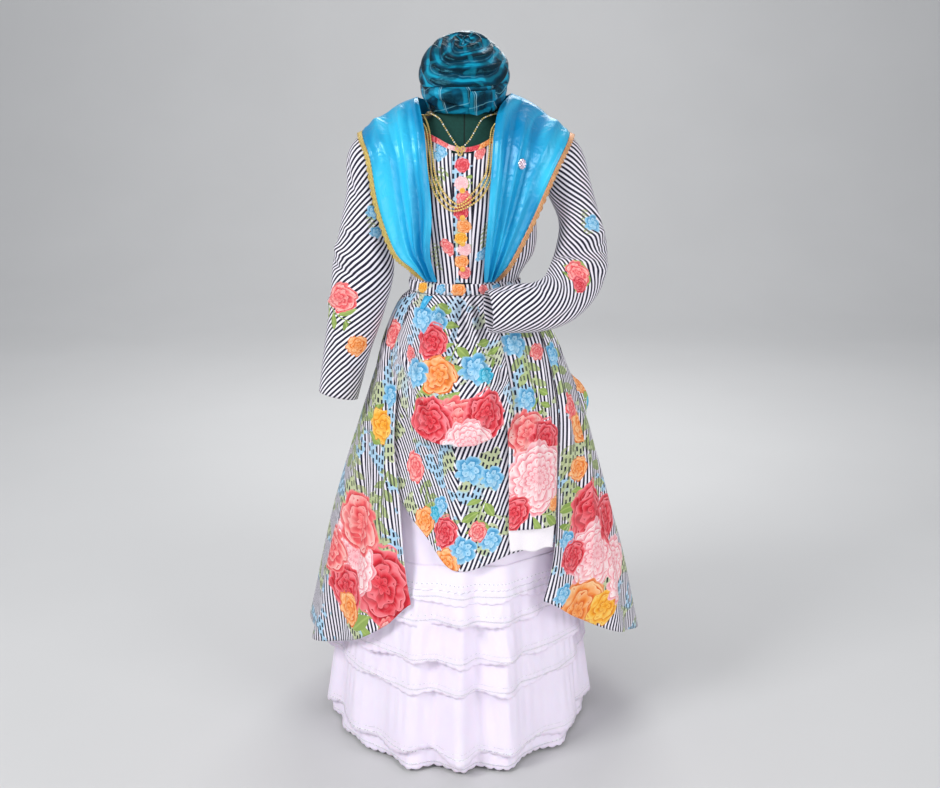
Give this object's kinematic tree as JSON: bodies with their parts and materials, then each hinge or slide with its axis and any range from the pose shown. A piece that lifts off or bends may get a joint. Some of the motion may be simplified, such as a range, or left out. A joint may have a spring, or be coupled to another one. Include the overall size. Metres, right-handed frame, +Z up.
{
  "type": "creole dress on a dress form",
  "caption": "Striped, flowered creole gown with a picked-up skirt, eyelet petticoat, satin foulard, wound headwrap and gold chains, on a limbless dress form.",
  "frame": {"origin": "on the floor, at the middle of the underside of the dress form's round base", "axes": "+Z up, front of the dress towards -Y, +X towards the wearer's left"},
  "size_m": [0.8331, 0.6986, 1.621],
  "materials": {
    "gown_cotton": "matte woven, striped navy and white with printed flowers",
    "petticoat_eyelet": "matte eyelet cotton",
    "foulard_satin": "glossy satin",
    "gold_lace": "metallic thread lace",
    "headwrap_madras": "glossy plaid cotton",
    "gold_beads": "polished",
    "brooch_silver": "polished",
    "button": "gloss",
    "form_velvet": "short-napped cover",
    "stand_steel": "satin black"
  },
  "bodies": {
    "root": {"form_torso": "form_velvet", "stand_pole": "stand_steel", "stand_base": "stand_steel", "petticoat_front": "petticoat_eyelet", "petticoat_back": "petticoat_eyelet", "petticoat_band": "petticoat_eyelet", "petticoat_tier_1": "petticoat_eyelet", "petticoat_tier_2": "petticoat_eyelet", "petticoat_tier_3": "petticoat_eyelet", "petticoat_tier_4": "petticoat_eyelet", "petticoat_tier_5": "petticoat_eyelet", "bodice_front_right": "gown_cotton", "bodice_front_left": "gown_cotton", "bodice_back": "gown_cotton", "bodice_placket": "gown_cotton", "neck_binding": "gown_cotton", "waist_casing": "gown_cotton", "button_1": "button", "button_2": "button", "button_3": "button", "button_4": "button", "sleeve_right": "gown_cotton", "sleeve_left_upper": "gown_cotton", "sleeve_left_lower": "gown_cotton", "skirt_right_panel": "gown_cotton", "skirt_left_panel": "gown_cotton", "skirt_back_left": "gown_cotton", "skirt_back_right": "gown_cotton", "skirt_lower_front": "gown_cotton", "skirt_pouf": "gown_cotton", "skirt_peony_panel": "gown_cotton", "skirt_turned_hem": "gown_cotton", "skirt_side_puff": "gown_cotton", "foulard_right_front": "foulard_satin", "foulard_left_front": "foulard_satin", "foulard_back": "foulard_satin", "foulard_lace_right": "gold_lace", "foulard_lace_left": "gold_lace", "foulard_end": "foulard_satin", "headwrap_wrap_upper": "headwrap_madras", "headwrap_wrap_middle": "headwrap_madras", "headwrap_wrap_lower": "headwrap_madras", "headwrap_crown": "headwrap_madras", "headwrap_tail": "headwrap_madras", "necklace_short": "gold_beads", "necklace_long_1": "gold_beads", "necklace_long_2": "gold_beads", "necklace_long_3": "gold_beads", "necklace_knot": "gold_beads", "brooch": "brooch_silver"}
  },
  "joints": []
}
